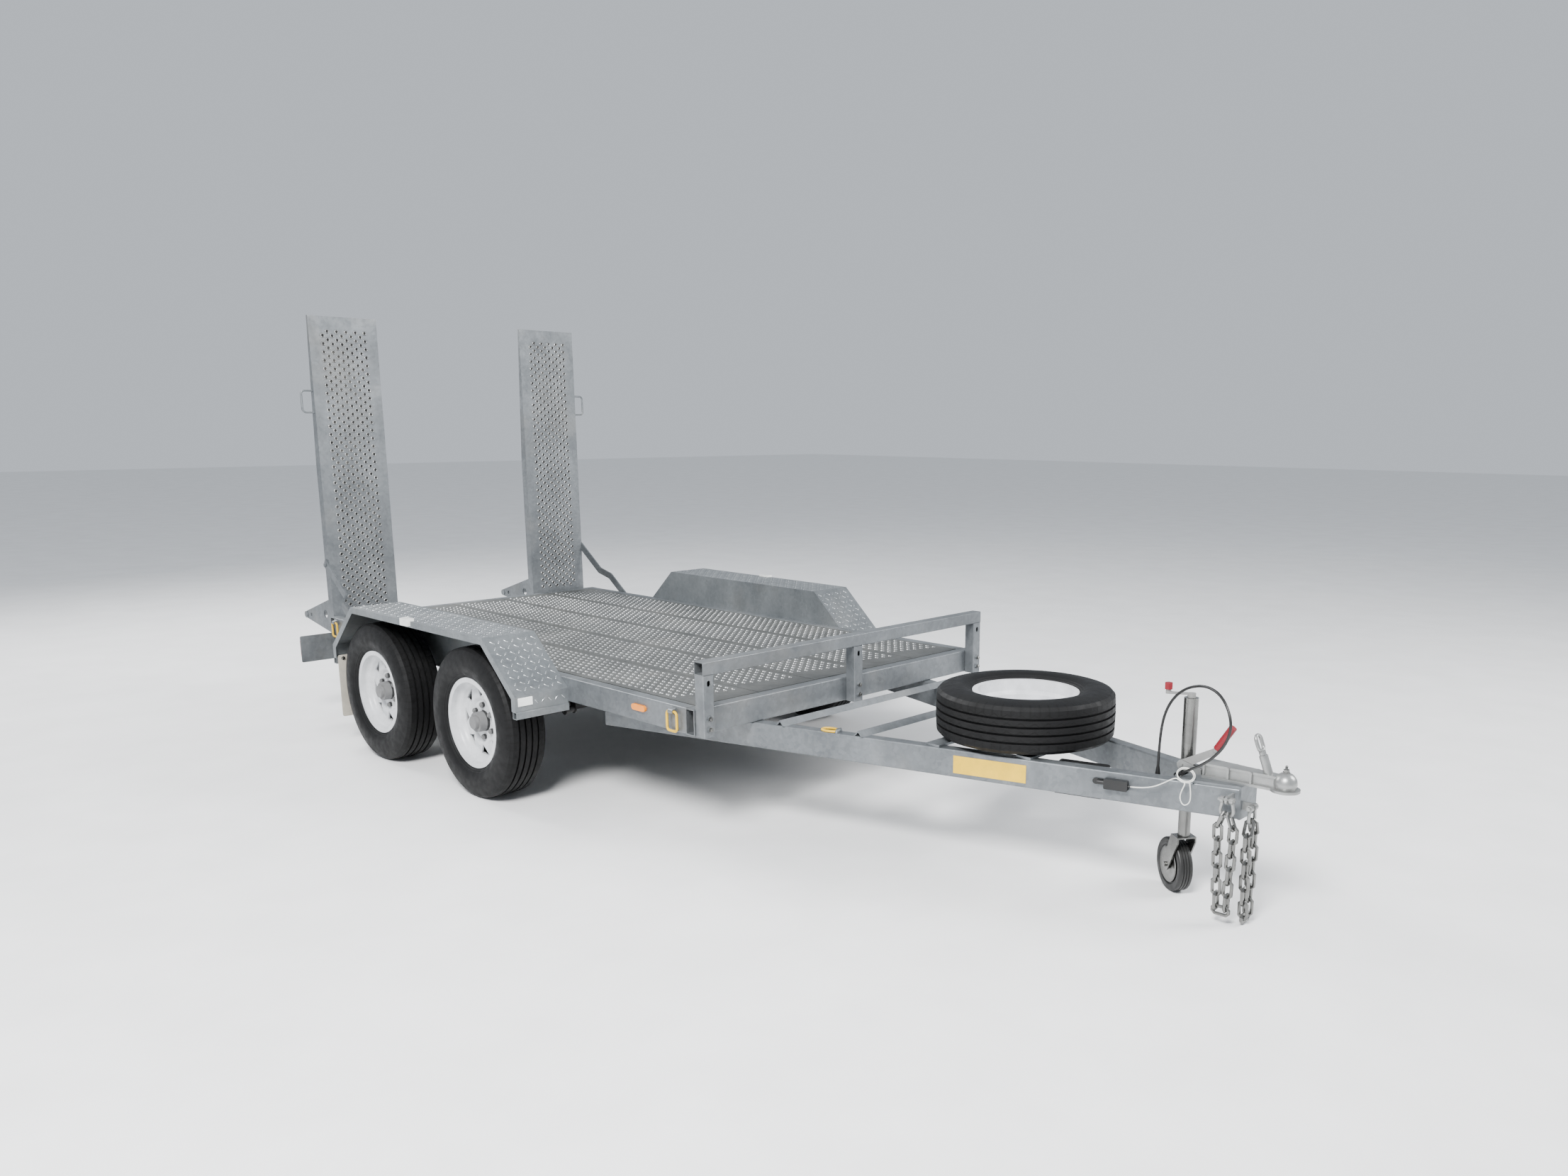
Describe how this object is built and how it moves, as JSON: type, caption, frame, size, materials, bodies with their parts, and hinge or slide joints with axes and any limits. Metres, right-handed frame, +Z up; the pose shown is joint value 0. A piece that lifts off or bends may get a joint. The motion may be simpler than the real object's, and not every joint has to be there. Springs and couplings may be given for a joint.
{
  "type": "tandem-axle plant trailer",
  "caption": "Low-bed plant trailer with two upright hinged ramps, tandem sprung wheels under folded mudguards, an A-frame drawbar with spare wheel, jockey wheel and ball coupling.",
  "frame": {"origin": "on the ground under the middle of the overall length and width", "axes": "+X forward towards the coupling, +Y to the left side of the trailer, +Z up"},
  "size_m": [5.38, 2.152, 2.1],
  "materials": {
    "galvanised_steel": "dull spangled zinc",
    "tyre_rubber": "matt",
    "white_rim": "gloss",
    "black_paint": "satin",
    "wheel_rubber": "satin",
    "zinc_plate": "bright plated",
    "yellow_zinc": "satin",
    "black_plastic": "matt",
    "clear_cable": "clear",
    "beige_rubber": "matt",
    "lamp_lens": "gloss",
    "clear_lens": "gloss"
  },
  "bodies": {
    "chassis": {"axles": "black_paint", "battery_box": "black_plastic", "breakaway_lanyard": "clear_cable", "breakaway_switch": "black_plastic", "chain_shackles": "zinc_plate", "coupling_head": "zinc_plate", "deck_bearers": "galvanised_steel", "deck_planks": "galvanised_steel", "drawbar": "galvanised_steel", "drawbar_cross_members": "galvanised_steel", "electric_lead": "black_plastic", "front_beam": "galvanised_steel", "guard_left": "galvanised_steel", "guard_right": "galvanised_steel", "jockey_tube": "zinc_plate", "lanyard_coil": "clear_cable", "lead_gland": "black_plastic", "leaf_springs": "black_paint", "lever_bracket": "zinc_plate", "light_boards": "galvanised_steel", "loading_rail": "galvanised_steel", "loading_rail_posts": "galvanised_steel", "marker_lamps": "clear_lens", "mud_flaps": "beige_rubber", "nose_plate": "galvanised_steel", "rear_beam": "galvanised_steel", "rockers": "black_paint", "safety_chains": "zinc_plate", "side_rails": "galvanised_steel", "signal_lamps": "lamp_lens", "spare_rim": "white_rim", "spare_tyre": "tyre_rubber", "spring_hangers": "black_paint", "tie_ring_saddles": "galvanised_steel"},
    "wheel_front_left": {"tyre_front_left": "tyre_rubber", "rim_front_left": "white_rim", "hub_front_left": "black_paint"},
    "wheel_front_right": {"tyre_front_right": "tyre_rubber", "rim_front_right": "white_rim", "hub_front_right": "black_paint"},
    "wheel_rear_left": {"tyre_rear_left": "tyre_rubber", "rim_rear_left": "white_rim", "hub_rear_left": "black_paint"},
    "wheel_rear_right": {"tyre_rear_right": "tyre_rubber", "rim_rear_right": "white_rim", "hub_rear_right": "black_paint"},
    "ramp_body_left": {"ramp_left": "galvanised_steel"},
    "stay_body_left": {"ramp_stay_left": "galvanised_steel"},
    "ramp_body_right": {"ramp_right": "galvanised_steel"},
    "stay_body_right": {"ramp_stay_right": "galvanised_steel"},
    "jockey_leg_body": {"jockey_leg": "zinc_plate"},
    "jockey_yoke_body": {"jockey_yoke": "zinc_plate"},
    "jockey_wheel_body": {"jockey_wheel": "wheel_rubber"},
    "jockey_crank_body": {"jockey_crank": "zinc_plate"},
    "latch_body": {"coupling_latch": "zinc_plate"},
    "brake_lever_body": {"brake_lever": "zinc_plate"},
    "tie_ring_rear_left_body": {"tie_ring_rear_left": "yellow_zinc"},
    "tie_ring_rear_right_body": {"tie_ring_rear_right": "yellow_zinc"},
    "tie_ring_side_left_body": {"tie_ring_side_left": "yellow_zinc"},
    "tie_ring_side_right_body": {"tie_ring_side_right": "yellow_zinc"}
  },
  "joints": [
    {"name": "wheel_front_left_spin", "type": "hinge", "parent": "chassis", "child": "wheel_front_left", "pos_m": [-0.44, 0.965, 0.325], "axis": [0, 1, 0], "continuous": true},
    {"name": "wheel_front_right_spin", "type": "hinge", "parent": "chassis", "child": "wheel_front_right", "pos_m": [-0.44, -0.965, 0.325], "axis": [0, 1, 0], "continuous": true},
    {"name": "wheel_rear_left_spin", "type": "hinge", "parent": "chassis", "child": "wheel_rear_left", "pos_m": [-1.3, 0.965, 0.325], "axis": [0, 1, 0], "continuous": true},
    {"name": "wheel_rear_right_spin", "type": "hinge", "parent": "chassis", "child": "wheel_rear_right", "pos_m": [-1.3, -0.965, 0.325], "axis": [0, 1, 0], "continuous": true},
    {"name": "ramp_left_hinge", "type": "hinge", "parent": "chassis", "child": "ramp_body_left", "pos_m": [-2.345, 0.605, 0.49], "axis": [0, -1, 0], "range_deg": [0, 106]},
    {"name": "ramp_stay_left_pivot", "type": "hinge", "parent": "ramp_body_left", "child": "stay_body_left", "pos_m": [-2.345, 0.7885, 0.815], "axis": [0, -1, 0], "range_deg": [0, 118]},
    {"name": "ramp_right_hinge", "type": "hinge", "parent": "chassis", "child": "ramp_body_right", "pos_m": [-2.345, -0.605, 0.49], "axis": [0, -1, 0], "range_deg": [0, 106]},
    {"name": "ramp_stay_right_pivot", "type": "hinge", "parent": "ramp_body_right", "child": "stay_body_right", "pos_m": [-2.345, -0.7885, 0.815], "axis": [0, -1, 0], "range_deg": [0, 118]},
    {"name": "jockey_crank_turn", "type": "hinge", "parent": "chassis", "child": "jockey_crank_body", "pos_m": [2.292, 0.036, 0.69], "axis": [0, 0, 1], "range_deg": [-9720, 9720]},
    {"name": "jockey_leg_slide", "type": "slide", "parent": "chassis", "child": "jockey_leg_body", "axis": [0, 0, 1], "range_m": [-0.1081, 0.1081]},
    {"name": "jockey_swivel", "type": "hinge", "parent": "jockey_leg_body", "child": "jockey_yoke_body", "pos_m": [2.292, 0.036, 0.214], "axis": [0, 0, 1], "continuous": true},
    {"name": "jockey_wheel_spin", "type": "hinge", "parent": "jockey_yoke_body", "child": "jockey_wheel_body", "pos_m": [2.2475, 0.06833, 0.093], "axis": [0.5878, 0.809, 0], "continuous": true},
    {"name": "brake_lever_pivot", "type": "hinge", "parent": "chassis", "child": "brake_lever_body", "pos_m": [2.298, -0.012, 0.474], "axis": [0, -1, 0], "range_deg": [0, 35]},
    {"name": "coupling_latch_pull", "type": "slide", "parent": "chassis", "child": "latch_body", "axis": [-0.3653, 0, 0.9309], "range_m": [0, 0.012], "stiffness_N_per_m": 1500, "springref_m": -0.004},
    {"name": "tie_ring_rear_left_swing", "type": "hinge", "parent": "chassis", "child": "tie_ring_rear_left_body", "pos_m": [-2.205, 0.832, 0.523], "axis": [1, 0, 0], "range_deg": [0, 95]},
    {"name": "tie_ring_rear_right_swing", "type": "hinge", "parent": "chassis", "child": "tie_ring_rear_right_body", "pos_m": [-2.205, -0.832, 0.523], "axis": [-1, 0, 0], "range_deg": [0, 95]},
    {"name": "tie_ring_side_left_swing", "type": "hinge", "parent": "chassis", "child": "tie_ring_side_left_body", "pos_m": [0.654, 0.832, 0.523], "axis": [1, 0, 0], "range_deg": [0, 95]},
    {"name": "tie_ring_side_right_swing", "type": "hinge", "parent": "chassis", "child": "tie_ring_side_right_body", "pos_m": [0.654, -0.832, 0.523], "axis": [-1, 0, 0], "range_deg": [0, 95]}
  ],
  "couplings": [
    {"joint": "jockey_leg_slide", "follows": "jockey_crank_turn", "m_per_rad": 0.00063662}
  ]
}
